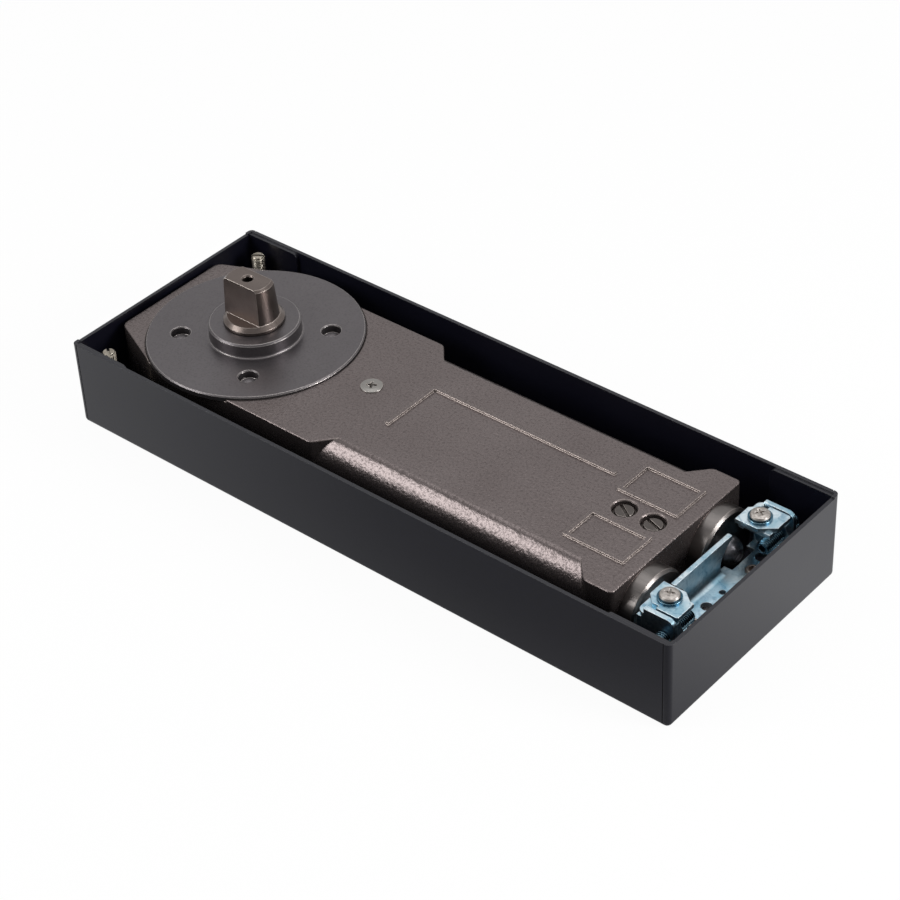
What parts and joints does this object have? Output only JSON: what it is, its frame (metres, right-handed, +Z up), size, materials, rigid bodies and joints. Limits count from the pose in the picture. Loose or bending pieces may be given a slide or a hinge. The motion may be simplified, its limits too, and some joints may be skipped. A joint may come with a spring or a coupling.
{
  "type": "floor spring door closer",
  "caption": "Floor spring in an open steel cement box: cast closer body, drive spindle on a cover disc, two closing valves and an adjusting bracket.",
  "frame": {"origin": "on the spindle's axis, at the underside of the cement box", "axes": "+X along the box from the spindle to the bracket end, +Y to the rear long wall, +Z up along the spindle's axis"},
  "size_m": [0.306, 0.108, 0.0642],
  "materials": {
    "box_coat": "satin black powder coat",
    "cast_paint": "grey-brown metallic paint over rough cast iron",
    "disc_paint": "satin grey paint on a turned disc",
    "machined_steel": "machined, dark",
    "bright_steel": "bright",
    "bearing_steel": "ground",
    "bearing_bronze": "sintered bronze",
    "spring_steel": "shot-blasted and oiled",
    "seal_rubber": "matt",
    "blue_zinc": "blue-passivated zinc plate",
    "nickel": "nickel plated",
    "black_steel": "blackened"
  },
  "bodies": {
    "tray": {"cement_box": "box_coat"},
    "closer": {"closer_body": "cast_paint", "cover_disc": "disc_paint", "cover_seal": "seal_rubber", "upper_bearing": "bearing_bronze", "lower_bearing": "bearing_bronze", "thrust_washer": "bearing_steel", "shaft_seal": "seal_rubber", "filler_screw": "bright_steel", "adjuster_bracket": "blue_zinc", "bracket_bolts": "nickel", "clamp_washers": "nickel", "clamp_screws": "nickel", "side_nuts": "blue_zinc", "support_strap": "blue_zinc", "strap_screws": "nickel", "closing_spring_front": "spring_steel", "spring_seat_front": "bright_steel", "end_plug_front": "machined_steel", "plug_seal_front": "seal_rubber", "clamp_plate_front": "blue_zinc", "closing_spring_rear": "spring_steel", "spring_seat_rear": "bright_steel", "end_plug_rear": "machined_steel", "plug_seal_rear": "seal_rubber", "clamp_plate_rear": "blue_zinc"},
    "drive": {"spindle": "machined_steel"},
    "speed_screw": {"speed_valve": "machined_steel", "speed_valve_seal": "seal_rubber"},
    "latch_screw": {"latch_valve": "machined_steel", "latch_valve_seal": "seal_rubber"},
    "rack_front": {"piston_front": "machined_steel", "piston_seal_front": "seal_rubber", "check_ball_front": "bearing_steel", "spring_plate_front": "bright_steel"},
    "rack_rear": {"piston_rear": "machined_steel", "piston_seal_rear": "seal_rubber", "check_ball_rear": "bearing_steel", "spring_plate_rear": "bright_steel"},
    "force_screw_front": {"force_adjuster_front": "black_steel"},
    "force_screw_rear": {"force_adjuster_rear": "black_steel"},
    "side_adjuster_front": {"side_screw_front": "nickel"},
    "side_adjuster_rear": {"side_screw_rear": "nickel"},
    "height_adjuster_front": {"height_screw_front": "nickel"},
    "height_adjuster_rear": {"height_screw_rear": "nickel"},
    "level_adjuster_front": {"level_screw_front": "nickel"},
    "level_adjuster_rear": {"level_screw_rear": "nickel"}
  },
  "joints": [
    {"name": "side_adjust", "type": "slide", "parent": "tray", "child": "closer", "axis": [0, 1, 0], "range_m": [-0.002, 0.002]},
    {"name": "spindle_turn", "type": "hinge", "parent": "closer", "child": "drive", "pos_m": [0, 0, 0], "axis": [0, 0, 1], "range_deg": [-130, 130], "stiffness_Nm_per_rad": 9},
    {"name": "rack_slide_front", "type": "slide", "parent": "closer", "child": "rack_front", "axis": [1, 0, 0], "range_m": [-0.0191, 0.0191], "deforming": ["closing_spring_front"]},
    {"name": "rack_slide_rear", "type": "slide", "parent": "closer", "child": "rack_rear", "axis": [1, 0, 0], "range_m": [-0.0191, 0.0191], "deforming": ["closing_spring_rear"]},
    {"name": "speed_valve_turn", "type": "hinge", "parent": "closer", "child": "speed_screw", "pos_m": [0.191, 0.0008, 0.03], "axis": [0, 0, 1], "range_deg": [-360, 360]},
    {"name": "latch_valve_turn", "type": "hinge", "parent": "closer", "child": "latch_screw", "pos_m": [0.2045, 0.0008, 0.03], "axis": [0, 0, 1], "range_deg": [-360, 360]},
    {"name": "force_turn_front", "type": "hinge", "parent": "closer", "child": "force_screw_front", "pos_m": [0.2235, -0.022, 0.019], "axis": [1, 0, 0], "range_deg": [-720, 720]},
    {"name": "force_turn_rear", "type": "hinge", "parent": "closer", "child": "force_screw_rear", "pos_m": [0.2235, 0.022, 0.019], "axis": [1, 0, 0], "range_deg": [-720, 720]},
    {"name": "side_screw_turn_front", "type": "hinge", "parent": "closer", "child": "side_adjuster_front", "pos_m": [0.2385, -0.038, 0.0265], "axis": [0, -1, 0], "range_deg": [-720, 720]},
    {"name": "side_screw_turn_rear", "type": "hinge", "parent": "closer", "child": "side_adjuster_rear", "pos_m": [0.2385, 0.038, 0.0265], "axis": [0, 1, 0], "range_deg": [-720, 720]},
    {"name": "height_screw_turn_front", "type": "hinge", "parent": "closer", "child": "height_adjuster_front", "pos_m": [0.2375, -0.019, 0.018], "axis": [0, 0, 1], "range_deg": [-720, 720]},
    {"name": "height_screw_turn_rear", "type": "hinge", "parent": "closer", "child": "height_adjuster_rear", "pos_m": [0.2375, 0.019, 0.018], "axis": [0, 0, 1], "range_deg": [-720, 720]},
    {"name": "level_screw_turn_front", "type": "hinge", "parent": "closer", "child": "level_adjuster_front", "pos_m": [-0.042, -0.045, 0.018], "axis": [0, 0, 1], "range_deg": [-720, 720]},
    {"name": "level_screw_turn_rear", "type": "hinge", "parent": "closer", "child": "level_adjuster_rear", "pos_m": [-0.042, 0.045, 0.018], "axis": [0, 0, 1], "range_deg": [-720, 720]}
  ],
  "couplings": [
    {"joint": "rack_slide_front", "follows": "spindle_turn", "m_per_rad": 0.0084},
    {"joint": "rack_slide_rear", "follows": "spindle_turn", "m_per_rad": -0.0084}
  ]
}
